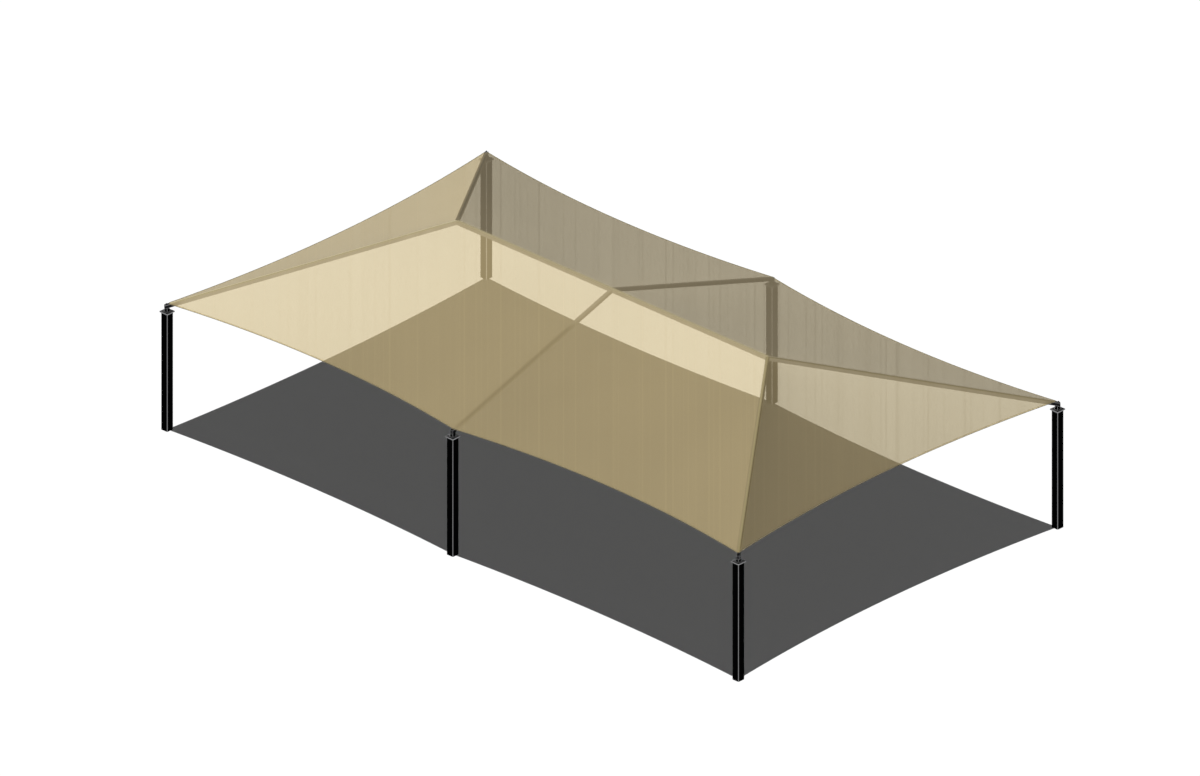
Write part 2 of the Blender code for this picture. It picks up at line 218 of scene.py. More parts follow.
def end_edge(share, inset):
    """A plan point of the left end's hollow edge, moved in from the cable by the inset."""
    sag = 4 * END_SAG * share * (1 - share)
    return FRONT_LEFT.lerp(BACK_LEFT, share) + Vector((sag + inset, 0))


def crossing(edge, inset, side, offset):
    """The share at which an edge is this far to one side of the left front hip's axis."""
    low, high = 0.0, 0.5
    for _ in range(HALVINGS):
        middle = (low + high) / 2
        if (edge(middle, inset) - FRONT_LEFT).dot(HIP_ACROSS) * side < offset:
            low = middle
        else:
            high = middle
    return low


def hip_height(point):
    """Height of the left front hip rafter's top above a plan point."""
    return EAVE_TOP + HIP_RISE * (Vector(point[:2]) - FRONT_LEFT).dot(HIP_ALONG)


def middle_height(point):
    """Height of the front middle rafter's top above a plan point."""
    return EAVE_TOP + MIDDLE_RISE * (point[1] + HALF_WIDTH)


def on_axis(station):
    """A point on the middle of the left front hip rafter's top."""
    return lifted(FRONT_LEFT + HIP_ALONG * station, EAVE_TOP + HIP_RISE * station)


def eased(value):
    value = min(max(value, 0), 1)
    return value * value * (3 - 2 * value)


def rounding(distance, slope):
    """How far the cloth drops at a fold whose sharp edge is this distance away."""
    near = max(FOLD_RADIUS - abs(distance), 0)
    return slope * near * near / (4 * FOLD_RADIUS)


def crease(station, offset):
    """How far the sewn hip lifts the cloth over the rafter's flat top, this far from the hip's axis."""
    ramp = eased((station - TIP_STATION) / CREASE_RUN) * eased((HIP_RUN - station) / CREASE_RUN)
    return HIP_CREASE * ramp * (1 - abs(offset) / HALF_SIDE)


def peak_lift(station):
    """How far the hip rafter's edge on the bay's side is lifted towards the ridge's level."""
    reach = eased((station - PEAK_LIFT_START) / (RIDGE_STATION - PEAK_LIFT_START))
    return reach * HIP_RISE * (HIP_RUN - RIDGE_STATION)


def stations():
    """Stations along the hip at which rows of the cloth cross it, from the tip to the end's apex."""
    rise = (END_STATION - FIRST_STATION) / STATION_ROWS
    return [TIP_STATION] + [FIRST_STATION + rise * row for row in range(STATION_ROWS + 1)]


def draped(station, offset):
    """Height of the cloth over the hip's axis, this far to one side of it, as the canopy has it."""
    rows = stations() + [RIDGE_STATION + (HIP_RUN - RIDGE_STATION) * step for step in RIDGE_STEPS]
    heights = [crease(row, offset) + peak_lift(row) * max(offset, 0) / HALF_SIDE for row in rows]
    for i in range(len(rows) - 1):
        if station <= rows[i + 1] or i == len(rows) - 2:
            share = (station - rows[i]) / (rows[i + 1] - rows[i])
            return heights[i] + (heights[i + 1] - heights[i]) * min(share, 1)


def mitre(offset):
    """The station at which the cloth beside the hip's axis meets the next side of the roof at the peak."""
    last = RIDGE_STATION if offset > 0 else END_STATION
    return HIP_RUN - (HIP_RUN - last) * abs(offset) / HALF_SIDE


def columns(reach, count):
    """Shares across a panel: close together beside the hip, then even up to the reach."""
    last = NEAR_FOLD[-1]
    return list(NEAR_FOLD) + [last + (reach - last) * (i + 1) / count for i in range(count)]


def dipped(depth, column, rise):
    """How far the cloth hangs below its straight rows, which is the depth in the middle."""
    return depth * 16 * column * (1 - column) * rise * (1 - rise)


class Panel:
    """Cloth beside the left front hip, which stops at this inset from its edge's cable."""

    def __init__(self, edge, side, inset, last_station):
        self.edge, self.side, self.inset, self.last_station = edge, side, inset, last_station
        self.first = crossing(edge, inset, side, HALF_SIDE)
        start = edge(self.first, inset)
        self.low = lifted(start, hip_height(start))
        self.start_station = (start - FRONT_LEFT).dot(HIP_ALONG)

    def strip_bottom(self, offset):
        """The edge over the hip rafter, this far from its axis."""
        if not offset:
            return on_axis(TIP_STATION)
        place = self.edge(crossing(self.edge, self.inset, self.side, offset), self.inset)
        return lifted(place, hip_height(place))

    def rise(self, station):
        """How far up a row is: 0 at the edge, whose station is given as 0, and 1 at the last station."""
        if not station:
            return 0
        return (station - self.start_station) / (self.last_station - self.start_station)


class Bay(Panel):
    """The left front bay's cloth, between the hip rafter and the middle rafter."""

    def __init__(self, inset):
        super().__init__(bay_edge, 1, inset, RIDGE_STATION)
        self.last = 1 - HALF_SIDE / HALF_LENGTH
        end = bay_edge(self.last, inset)
        self.low_right = lifted(end, middle_height(end))
        ridge_end = -HALF_RIDGE + HALF_SIDE * (HIP_RUN - PEAK_INSET) / HALF_WIDTH
        self.high_left = Vector((ridge_end, -HALF_SIDE, RIDGE_TOP))
        self.high_right = Vector((-HALF_SIDE, -HALF_SIDE, RIDGE_TOP))

    def share(self, column):
        return self.first + (self.last - self.first) * column

    def bottom(self, column):
        height = self.low.z + (self.low_right.z - self.low.z) * column
        return lifted(bay_edge(self.share(column), self.inset), height)

    def point(self, column, station):
        """The cloth in this column and row, with its folds rounded."""
        rise, first = self.rise(station), self.low
        if station:
            first = on_axis(station) + lifted(HIP_ACROSS * HALF_SIDE, peak_lift(station))
        last = self.low_right.lerp(self.high_right, rise)
        sagged = self.bottom(column) - self.low.lerp(self.low_right, column)
        point = first.lerp(last, column) + sagged * (1 - rise)
        point.z -= dipped(DIP, column, rise)
        row = last - first
        drop = HIP_RISE * row.xy.dot(HIP_ALONG) - row.z
        fold = drop / row.xy.dot(HIP_ACROSS)
        point.z -= rounding((point.xy - FRONT_LEFT).dot(HIP_ACROSS) - HALF_SIDE, fold)
        point.z -= rounding(point.y + HALF_SIDE, MIDDLE_RISE)
        return point


class End(Panel):
    """The left end's cloth, between its two hip rafters."""

    def __init__(self, inset):
        super().__init__(end_edge, -1, inset, END_STATION)
        self.fold = HIP_RISE * HIP_ALONG.y / -HIP_ACROSS.y

    def share(self, column):
        return self.first + (1 - 2 * self.first) * column

    def bottom(self, column):
        return lifted(end_edge(self.share(column), self.inset), self.low.z)

    def point(self, column, station):
        rise = self.rise(station)
        first = on_axis(station) - lifted(HIP_ACROSS * HALF_SIDE, 0) if station else self.low
        last = Vector((first.x, -first.y, first.z))
        straight = self.low.xy.lerp(Vector((self.low.x, -self.low.y)), column)
        sagged = self.bottom(column) - lifted(straight, self.low.z)
        point = first.lerp(last, column) + sagged * (1 - rise)
        point.z -= dipped(DIP / 2, column, rise)
        point.z -= rounding(-(point.xy - FRONT_LEFT).dot(HIP_ACROSS) - HALF_SIDE, self.fold)
        return point


def peak_axis(step):
    """A point on the hip's axis between the row at the ridge beam's edge and the peak."""
    station = RIDGE_STATION + (HIP_RUN - RIDGE_STATION) * step
    return on_axis(station) + UP * crease(station, 0)


def bay_grid(bay):
    """Rows of points over the left front bay, from the hip's axis to the middle and up to the ridge."""
    shares = columns(1, BAY_COLUMNS)
    grid = []
    for row, station in enumerate(stations()):
        if row:
            strip = [on_axis(station) + lifted(HIP_ACROSS * offset, 0) for offset in STRIP]
            for offset, point in zip(STRIP, strip):
                point.z += peak_lift(station) * offset / HALF_SIDE + crease(station, offset)
            strip[-1].z -= rounding(FOLD_RADIUS / 2, BAY_FOLD)
        else:
            strip = [bay.strip_bottom(offset) for offset in STRIP]
        panel = [bay.point(share, station if row else 0) for share in shares]
        grid.append(strip + panel + [Vector((0, panel[-1].y, panel[-1].z))])
    for step in RIDGE_STEPS:
        left = bay.high_left.lerp(Vector((-HALF_RIDGE, 0, RIDGE_TOP)), step)
        right = Vector((-HALF_SIDE, left.y, RIDGE_TOP))
        axis = peak_axis(step)
        drop = rounding(left.y + HALF_SIDE, MIDDLE_RISE)
        strip = [axis.lerp(left, offset / HALF_SIDE) for offset in STRIP]
        panel = [left.lerp(right, share) for share in shares] + [Vector((0, left.y, RIDGE_TOP))]
        for point in panel:
            point.z -= drop
        grid.append(strip + panel)
    return grid


def end_grid(end):
    """Rows of points over the front half of the left end, from the hip's axis to the middle of the end."""
    shares = columns(0.5, END_COLUMNS)
    grid = []
    *rows, last = stations()
    for row, station in enumerate(rows):
        if row:
            strip = [
                on_axis(station) - lifted(HIP_ACROSS * offset, -crease(station, offset)) for offset in STRIP
            ]
            strip[-1].z -= rounding(FOLD_RADIUS / 2, end.fold)
        else:
            strip = [end.strip_bottom(offset) for offset in STRIP]
        grid.append(strip + [end.point(share, station if row else 0) for share in shares])
    apex = on_axis(END_STATION) - lifted(HIP_ACROSS * HALF_SIDE, 0)
    apex.y = 0
    top = on_axis(last) + UP * crease(last, 0)
    grid.append([top.lerp(apex, offset / HALF_SIDE) for offset in STRIP] + [apex] * len(shares))
    for step in RIDGE_STEPS:
        grid.append([peak_axis(step)] + [apex] * (len(grid[0]) - 1))
    return grid


def add_grid(shape, grid, closed=False, looped=False):
    """Joins each row of points to the next. A closed row, and a looped grid, end where they start."""
    rows = [[shape.verts.new(point) for point in row] for row in grid]
    for lower, upper in zip(rows, rows[1:] + rows[:1] if looped else rows[1:]):
        for i in range(len(lower) if closed else len(lower) - 1):
            j = (i + 1) % len(lower)
            shape.faces.new((lower[i], lower[j], upper[j], upper[i]))
    return rows


def finished(shape, sharp=30, outwards=False):
    """The shape's mesh, smooth up to this angle between faces, turned outwards if asked."""
    if outwards:
        bmesh.ops.recalc_face_normals(shape, faces=shape.faces[:])
    mesh = bpy.data.meshes.new("shape")
    shape.to_mesh(mesh)
    shape.free()
    mesh.shade_smooth()
    mesh.set_sharp_from_angle(angle=radians(sharp))
    return mesh


def add_object(name, data):
    data.name = name
    item = bpy.data.objects.new(name, data)
    bpy.context.scene.collection.objects.link(item)
    return item


def add_piece(name, mesh, material, slot, *nodes):
    """A piece of the visual model, which stands for the named CAD nodes."""
    piece = add_object(name, mesh)
    mesh.materials.append(material)
    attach(piece, "root")
    if nodes:
        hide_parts(*nodes)
    return piece


def repaint(name, material):
    """Gives a CAD node this material."""
    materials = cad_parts[name].data.materials
    materials.clear()
    materials.append(material)


def mirrored(shape, axes):
    """Adds the mirror images of a quarter or half across the named planes, and welds them to it."""
    for axis in axes:
        scale = Vector((1, 1, 1))
        scale[axis] = -1
        copied = bmesh.ops.duplicate(shape, geom=shape.verts[:] + shape.edges[:] + shape.faces[:])["geom"]
        verts = [item for item in copied if isinstance(item, bmesh.types.BMVert)]
        faces = [item for item in copied if isinstance(item, bmesh.types.BMFace)]
        for vert in verts:
            vert.co *= scale
        bmesh.ops.reverse_faces(shape, faces=faces)
    bmesh.ops.remove_doubles(shape, verts=shape.verts[:], dist=0.00005)
    bmesh.ops.dissolve_degenerate(shape, dist=0.00001, edges=shape.edges[:])


def facing_up(shape):
    shape.normal_update()
    if sum(face.normal.z for face in shape.faces) < 0:
        bmesh.ops.reverse_faces(shape, faces=shape.faces[:])


def canopy_mesh():
    shape = bmesh.new()
    add_grid(shape, bay_grid(Bay(CLOTH_INSET)))
    add_grid(shape, [row[::-1] for row in end_grid(End(CLOTH_INSET))])
    for vert in shape.verts:
        vert.co.z += CLOTH_LIFT
    mirrored(shape, (0, 1))
    facing_up(shape)
    return finished(shape, 60)


# Hems and seams

def hem_corner(edge, side, rise):
    """Where a hem starts, over the hip rafter: the cloth's edge, its rise and the point under the cable."""
    found = []
    for part in HEM_PARTS:
        share = crossing(edge, 0, side, HALF_SIDE * part)
        place, under = edge(share, CLOTH_INSET), edge(share, 0)
        found.append((lifted(place, hip_height(place)), rise, lifted(under, hip_height(under))))
    return found


def bay_hem_places():
    """Along the left front bay: the cloth's edge, its direction inwards and the point under the cable."""
    bay, cable = Bay(CLOTH_INSET), Bay(0)
    found = hem_corner(bay_edge, 1, HIP_RISE * HIP_ALONG.y)
    climb, span = cable.low_right.z - cable.low.z, cable.last - cable.first
    for column in columns(1, BAY_COLUMNS):
        share = bay.share(column)
        place = bay.bottom(column)
        rise = (RIDGE_TOP - place.z) / (-HALF_SIDE - place.y)
        under = lifted(bay_edge(share, 0), cable.low.z + climb * (share - cable.first) / span)
        found.append((place, rise, under))
    for reach in (CABLE_START, 0):
        under = bay_edge(1 - reach / HALF_LENGTH, 0)
        found.append((Vector((-reach, place.y, place.z)), rise, lifted(under, middle_height(under))))
    return [(place, Vector((0, 1, rise)).normalized(), under) for place, rise, under in found]


def end_hem_places():
    """The same along the front half of the left end."""
    end, cable = End(CLOTH_INSET), End(0)
    found = hem_corner(end_edge, -1, HIP_RISE * HIP_ALONG.x)
    for column in columns(0.5, END_COLUMNS):
        place = end.bottom(column)
        rise = (RIDGE_TOP - place.z) / (-HALF_RIDGE - place.x)
        found.append((place, rise, lifted(end_edge(end.share(column), 0), cable.low.z)))
    return [(place, Vector((1, 0, rise)).normalized(), under) for place, rise, under in found]


def hem_profile(place, inwards, under, along):
    """Points of the hem's section: over the cloth, round the cable and back under the cloth."""
    over = along.cross(inwards)
    over = over.normalized() if over.z > 0 else -over.normalized()
    outwards = Vector((along.y, -along.x, 0)).normalized()
    if outwards.dot(inwards) > 0:
        outwards = -outwards
    place = place + UP * CLOTH_LIFT
    middle = under + UP * (CABLE_DIAMETER / 2 + CABLE_LIFT)
    top, bottom = (
        [place + inwards * reach + over * FLAP_HEIGHT * height for reach, height in flap]
        for flap in (FLAP_OVER, FLAP_UNDER)
    )
    loop = [
        middle + (outwards * cos(radians(angle)) + UP * sin(radians(angle))) * LOOP_RADIUS
        for angle in LOOP_ANGLES
    ]
    return top + loop + bottom


def hem_grid(found):
    grid = []
    for i, (place, inwards, under) in enumerate(found):
        before, after = found[max(i - 1, 0)][2], found[min(i + 1, len(found) - 1)][2]
        grid.append(hem_profile(place, inwards, under, (after - before).normalized()))
    return grid


def hem_mesh(found, axis, far):
    """One side's whole hem: its half, mirrored along this axis, and brought to the far side if asked."""
    shape = bmesh.new()
    add_grid(shape, hem_grid(found))
    mirrored(shape, (axis,))
    if far:
        for vert in shape.verts:
            vert.co[1 - axis] *= -1
        bmesh.ops.reverse_faces(shape, faces=shape.faces[:])
    return finished(shape, 60, outwards=True)


def hip_seam_mesh(x_sign, y_sign):
    shape = bmesh.new()
    grid = []
    for station in [SEAM_START] + stations()[1:-1] + [HIP_RUN]:
        row = []
        for offset, height in SEAM_PROFILE:
            place = min(station, mitre(offset))
            above = CLOTH_LIFT + height + draped(place, offset)
            row.append(on_axis(place) + lifted(HIP_ACROSS * offset, above))
        grid.append(row)
    add_grid(shape, grid)
    for vert in shape.verts:
        vert.co *= Vector((-x_sign, -y_sign, 1))
    facing_up(shape)
    return finished(shape, 50)


def ridge_seam_mesh():
    shape = bmesh.new()
    grid = []
    for i in range(RIDGE_SEAM_STEPS + 1):
        row = []
        for offset, height in SEAM_PROFILE:
            reach = HALF_RIDGE - HALF_SIDE * (HIP_RUN - PEAK_INSET) / HALF_WIDTH * abs(offset) / HALF_SIDE
            place = reach * (2 * i / RIDGE_SEAM_STEPS - 1)
            row.append(Vector((place, offset, RIDGE_TOP + CLOTH_LIFT + height)))
        grid.append(row)
    add_grid(shape, grid)
    facing_up(shape)
    return finished(shape, 50)


# Materials

BASE = (0.62, 0.492, 0.26)
HEM_TONE = (0.45, 0.39, 0.25)
RIDGE_SEAM_TONE = (0.667, 0.567, 0.326)
BLACK = (0.001, 0.001, 0.0011)
# Painted highlights for the posts' and necks' rounded corners, brighter on the two back posts
CORNER_HIGHLIGHT = (0.3, 0.3, 0.305)
BACK_CORNER_HIGHLIGHT = (0.75, 0.75, 0.76)
# Painted highlight for the roof tubes' edges near their feet and their caps' rims
EDGE_HIGHLIGHT = (0.03, 0.03, 0.0305)
# Painted highlight for the plates' upright rims
PLATE_RIM_HIGHLIGHT = (0.4, 0.4, 0.41)
FITTING_GREY = (0.006, 0.006, 0.0063)

# How much a tone changes between its two shades
CLOTH_SHADES = (1.07, 0.93)
STEEL_SHADES = (0.8, 1.25)

# How much the cloth covers what is behind it, from face on to edge on, and how much more on the right end
CLOTH_FACING, CLOTH_COVER = (0.1, 0.76), (0.44, 0.83)
HEM_COVER = (0.2, 0.5)
SEAM_FACING, SEAM_COVER = (0.33, 0.5), (0.58, 0.96)
RIGHT_END_COVER = 0.13

# The direction across the cloth's streaks, and its lines of painted shade over the front middle tube and
# beside a hip
STREAK_WAY = (0.7222, 0.6917, 0)
TUBE_SHADE_LINE, TUBE_SHADE_DEPTH = 0.04, 0.075
HIP_LINE, HIP_SHADE = 0.05, 0.22

# The hip seams' tones on the end's side and on the bay's side, which are painted light and shade for how each
# half is lit, and how far past the axis they change
LIT_SEAM_TONES = {
    "front_left": ((0.78, 0.69, 0.44), (0.54, 0.47, 0.27), 0.006),
    "front_right": ((0.16, 0.133, 0.062), (0.43, 0.37, 0.203), -0.024),
    "back_left": ((0.335, 0.265, 0.142), (0.41, 0.33, 0.175), 0.0),
    "back_right": ((0.48, 0.395, 0.21), (0.69, 0.575, 0.35), 0.004),
}
# How much painted shade darkens the bay's side of a hip seam past its border
SHADED_BORDERS = {"front_right": 0.16}
BORDER_START = 0.046
BORDER_SOFTNESS = 0.006

# How grey each roof tube is painted, as painted light, and the stretch from its foot over which it turns from
# black
NEAR_FOOT = (0.12, 0.35)
LIT_TONES = {
    "front_left": (0.058, NEAR_FOOT),
    "front_middle": (0.06, (4.0, 4.5)),
    "front_right": (0.06, (4.9, 5.4)),
    "back_left": (0.012, NEAR_FOOT),
    "back_middle": (0.006, NEAR_FOOT),
    "back_right": (0.048, NEAR_FOOT),
}
RIDGE_LIT_TONE = (0.04, (-20, -19))


class Graph:
    """A small helper that builds the nodes of one material, or of the world."""

    def __init__(self, name, world=False):
        self.owner = (bpy.data.worlds if world else bpy.data.materials).new(name)
        self.owner.use_nodes = True
        self.tree = self.owner.node_tree
        self.tree.nodes.clear()
        self.output = self.add("ShaderNodeOutputWorld" if world else "ShaderNodeOutputMaterial")
        coordinates = self.add("ShaderNodeTexCoord")
        self.place = coordinates.outputs["Object"]
        self.normal = coordinates.outputs["Normal"]

    def add(self, kind, inputs=None, **settings):
        node = self.tree.nodes.new(kind)
        for name, value in settings.items():
            setattr(node, name, value)
        for name, value in (inputs or {}).items():
            if isinstance(value, bpy.types.NodeSocket):
                self.tree.links.new(value, node.inputs[name])
            else:
                node.inputs[name].default_value = value
        return node

    def math(self, operation, first, second=0.0, clamp=False):
        node = self.add("ShaderNodeMath", {0: first, 1: second}, operation=operation, use_clamp=clamp)
        return node.outputs[0]

    def dot(self, vector, direction):
        node = self.add("ShaderNodeVectorMath", {0: vector, 1: direction}, operation="DOT_PRODUCT")
        return node.outputs["Value"]

    def spread(self, value, low, high, new_low, new_high):
        node = self.add(
            "ShaderNodeMapRange",
            {"Value": value, "From Min": low, "From Max": high, "To Min": new_low, "To Max": new_high},
            clamp=True,
        )
        return node.outputs["Result"]

    def blend(self, factor, first, second):
        first, second = (c if isinstance(c, bpy.types.NodeSocket) else (*c, 1) for c in (first, second))
        return self.add("ShaderNodeMix", {0: factor, 6: first, 7: second}, data_type="RGBA").outputs[2]

    def noise(self, scale, detail):
        inputs = {"Vector": self.place, "Scale": scale, "Detail": detail}
        return self.add("ShaderNodeTexNoise", inputs).outputs[0]

    def streaks(self, distance, scale, detail, roughness):
        """Noise that changes only with this distance."""
        inputs = {"W": distance, "Scale": scale, "Detail": detail, "Roughness": roughness}
        return self.add("ShaderNodeTexNoise", inputs, noise_dimensions="1D").outputs[0]

    def wave(self, scale, distortion, direction, detail=2.0):
        inputs = {"Vector": self.place, "Scale": scale, "Distortion": distortion, "Detail": detail}
        return self.add("ShaderNodeTexWave", inputs, bands_direction=direction).outputs[1]

    def mixed(self, first, share, second):
        """This share of the first value, and the rest of the second."""
        rest = self.math("MULTIPLY", second, 1 - share)
        return self.math("ADD", self.math("MULTIPLY", first, share), rest)

    def swayed(self, value, wave, middle, gain, clamp=False):
        """The value, higher where the wave is over its middle and lower where it is under it."""
        sway = self.math("MULTIPLY", self.math("SUBTRACT", wave, middle), gain)
        return self.math("ADD", value, sway, clamp)

    def shaded(self, factor, colour, first, second):
        """The colour times the first number where the factor is 0, and times the second where it is 1."""
        return self.blend(factor, [c * first for c in colour], [c * second for c in colour])

    def bump(self, height, strength, distance):
        inputs = {"Height": height, "Strength": strength, "Distance": distance}
        return self.add("ShaderNodeBump", inputs).outputs["Normal"]

    def surface(self, colour, roughness, bump, others):
        inputs = {"Base Color": colour, "Roughness": roughness, "Normal": bump, **others}
        return self.add("ShaderNodeBsdfPrincipled", inputs).outputs[0]

    def diffuse(self, grey):
        return self.add("ShaderNodeBsdfDiffuse", {"Color": (grey, grey, grey, 1)}).outputs[0]

    def finish(self, shader):
        self.tree.links.new(shader, self.output.inputs["Surface"])
        return self.owner


def dark_line(g, across, middle, width, end, strength):
    """How much painted shade darkens the cloth along a line, from the front up to where it fades, between the
    end's values.
    """
    beside = g.math("ABSOLUTE", g.math("SUBTRACT", g.dot(g.place, across), middle))
    front = g.spread(g.dot(g.place, (0, 1, 0)), *end, strength, 0.0)
    return g.math("MULTIPLY", g.spread(beside, *width, 1.0, 0.0), front)


def cloth_material(name, base, facing_range, cover_range, tube_shade_depth=0.0, other_half=None):
    """Knitted shade cloth: partly see-through, more so face on, and opaque to shadow rays.

    Given a depth of tube shade, painted shade darkens it along the lower part of the front middle rafter and
    beside the front right hip. The other half is a second tone for the far side of a hip's axis, the two
    tones being painted light and shade, with the direction across the hip, how far along it the axis is, and
    how much painted shade darkens the seam's border there.
    """
    g = Graph(name)
    across = g.dot(g.place, STREAK_WAY)
    lines = g.spread(g.streaks(across, 11.0, 2.0, 0.7), 0.55, 0.72, 0.0, 1.0)
    streak = g.mixed(g.streaks(across, 2.6, 3.0, 0.6), 0.5, lines)
    knit = g.math("MULTIPLY", g.wave(90.0, 0.6, "X", 1.0), g.wave(70.0, 0.6, "Y", 1.0))
    facing = g.add("ShaderNodeLayerWeight", {"Blend": 0.5}).outputs["Facing"]
    rightward = g.spread(g.dot(g.normal, (1, 0, 0)), 0.2, 0.35, 0.0, RIGHT_END_COVER)
    cover = g.math("ADD", g.spread(facing, *facing_range, *cover_range), rightward)
    cover = g.swayed(g.swayed(cover, streak, 0.3, 0.09), knit, 0.25, 0.12, clamp=True)
    shade = g.mixed(streak, 0.2, g.noise(0.35, 2.0))
    colour = g.shaded(shade, base, *CLOTH_SHADES)
    # The far half of a hip seam takes a second tone, and the two tones are painted light and shade; past its
    # border it gets painted shade
    if other_half:
        tone, across_hip, axis, border = other_half
        distance, start = g.dot(g.place, across_hip), axis + BORDER_START
        darker = g.spread(distance, start, start + BORDER_SOFTNESS, 0.0, border)
        tone = g.blend(darker, g.shaded(shade, tone, *CLOTH_SHADES), (0, 0, 0))
        colour = g.blend(g.math("GREATER_THAN", distance, axis), colour, tone)
    # Painted shade: a dark line over the front middle tube's lower part, and one beside the front right hip
    if tube_shade_depth:
        hip = HIP_ACROSS * Vector((-1, 1))
        start = hip.dot(PLACES["front_right"]) + HIP_LINE
        tube_shade = dark_line(g, (1, 0, 0), TUBE_SHADE_LINE, (0.028, 0.045), (-1.6, -1.2), tube_shade_depth)
        hip_shadow = dark_line(g, (*hip, 0), start, (0.008, 0.014), (-0.1, 0.0), HIP_SHADE)
        colour = g.blend(g.math("MAXIMUM", tube_shade, hip_shadow), colour, (0, 0, 0))
    body = g.surface(
        colour, 0.9, g.bump(knit, 0.35, 0.0008), {"Specular IOR Level": 0.1, "Sheen Weight": 0.08}
    )
    clear = g.add("ShaderNodeBsdfTransparent", {"Color": (1.0, 0.92, 0.72, 1)}).outputs[0]
    seen = g.add("ShaderNodeMixShader", {0: cover, 1: clear, 2: body}).outputs[0]
    shadow = g.add("ShaderNodeLightPath").outputs["Is Shadow Ray"]
    return g.finish(g.add("ShaderNodeMixShader", {0: shadow, 1: seen, 2: body}).outputs[0])


def steel_shader(g, colour, cloud, rough, specular):
    """Coated steel with a faint orange peel, its roughness between the two values."""
    bump = g.bump(g.noise(420.0, 2.0), 0.12, 0.0004)
    roughness = g.spread(cloud, 0.3, 0.7, *rough)
    return g.finish(g.surface(colour, roughness, bump, {"Specular IOR Level": specular}))


def coat_material(name, corner):
    """Black powder coat on an upright square tube, with painted highlights in the given colour at its rounded
    corners.
    """
    g = Graph(name)
    # Painted highlight where the surface faces between two sides, at the rounded corners
    facings = g.math("MULTIPLY", g.dot(g.normal, (1, 0, 0)), g.dot(g.normal, (0, 1, 0)))
    highlight_mask = g.spread(g.math("ABSOLUTE", facings), 0.2, 0.5, 0.0, 1.0)
    cloud = g.noise(3.0, 4.0)
    colour = g.blend(highlight_mask, g.shaded(cloud, BLACK, *STEEL_SHADES), corner)
    return steel_shader(g, colour, cloud, (0.42, 0.55), 0.03)


def rafter_material(name, foot, side, way, tone, start):
    """The same coat on a roof tube: black at its foot, and painted greyer from the given stretch upwards, as
    painted light.

    The foot is a point on the tube's axis, and near it the edges of the tube and of its cap are painted
    paler, as painted highlights.
    """
    g = Graph(name)
    top = side.cross(way)

    def distance(direction):
        return g.math("SUBTRACT", g.dot(g.place, direction), foot.dot(direction))

    across, above = g.math("ABSOLUTE", distance(side)), g.math("ABSOLUTE", distance(top))
    # Painted highlights on the tube's edges near its foot and on its cap's rim
    edge = g.spread(g.math("MINIMUM", across, above), HALF_SIDE - 0.014, HALF_SIDE - 0.008, 0.0, 1.0)
    edge = g.math("MULTIPLY", edge, g.spread(distance(way), 0.12, 0.35, 1.0, 0.0))
    rim = g.spread(g.math("MAXIMUM", across, above), HALF_SIDE - 0.008, HALF_SIDE - 0.004, 0.0, 1.0)
    capped = g.math("GREATER_THAN", g.math("ABSOLUTE", g.dot(g.normal, way)), 0.7)
    highlight_mask = g.math("MAXIMUM", edge, g.math("MULTIPLY", rim, capped))
    cloud = g.noise(3.0, 4.0)
    # Painted light: the tube turns from black at its foot to a lit grey further up
    grey = g.blend(g.spread(distance(way), *start, 0.0, 1.0), BLACK, (tone, tone, tone * 1.02))
    dark = g.blend(g.spread(cloud, 0.3, 0.7, 0.25, 0.0), grey, (0, 0, 0))
    return steel_shader(g, g.blend(highlight_mask, dark, EDGE_HIGHLIGHT), cloud, (0.42, 0.55), 0.05)


def plate_material(name, rim):
    """Black coat on a flat plate and its bolts, with a painted highlight on the plate's upright rim."""
    g = Graph(name)
    level = g.math("ABSOLUTE", g.dot(g.normal, (0, 0, 1)))
    under_bolts = g.math("LESS_THAN", g.dot(g.place, (0, 0, 1)), BASE_BOTTOM + PLATE_THICKNESS)
    # Painted highlight on the plate's upright rim, not on its bolts
    edge = g.math("MULTIPLY", g.spread(level, 0.25, 0.9, 1.0, 0.0), under_bolts)
    cloud = g.noise(25.0, 4.0)
    colour = g.blend(edge, g.shaded(cloud, BLACK, *STEEL_SHADES), rim)
    return steel_shader(g, colour, cloud, (0.4, 0.52), 0.02)


def fitting_material(name, base):
    """Coated weld beads and small fittings: mottled dark metal."""
    g = Graph(name)
    spangle = g.add("ShaderNodeTexVoronoi", {"Vector": g.place, "Scale": 180.0}).outputs["Color"]
    cloud = g.noise(90.0, 3.0)
    colour = g.shaded(g.mixed(g.dot(spangle, (0.33, 0.33, 0.33)), 0.5, cloud), base, 0.7, 1.3)
    roughness = g.spread(cloud, 0.3, 0.7, 0.45, 0.6)
    return g.finish(g.surface(colour, roughness, g.bump(cloud, 0.3, 0.0005), {"Specular IOR Level": 0.05}))


def thread_material():
    """Sewing thread in the cloth's colour, twisted."""
    g = Graph("sewing_thread")
    twist = g.wave(300.0, 0.5, "DIAGONAL")
    colour = g.blend(twist, (0.42, 0.34, 0.18), (0.6, 0.49, 0.27))
    return g.finish(g.surface(colour, 0.8, g.bump(twist, 0.4, 0.0004), {"Specular IOR Level": 0.2}))


def rope_material():
    """Galvanised wire rope, with its strands as slanting bands."""
    g = Graph("wire_rope")
    strands = g.wave(45.0, 0.3, "DIAGONAL")
    colour = g.blend(strands, (0.18, 0.18, 0.175), (0.5, 0.5, 0.49))
    roughness = g.spread(g.noise(60.0, 3.0), 0.3, 0.7, 0.3, 0.5)
    return g.finish(g.surface(colour, roughness, g.bump(strands, 0.8, 0.001), {"Metallic": 0.9}))


# Plates, welds and fittings

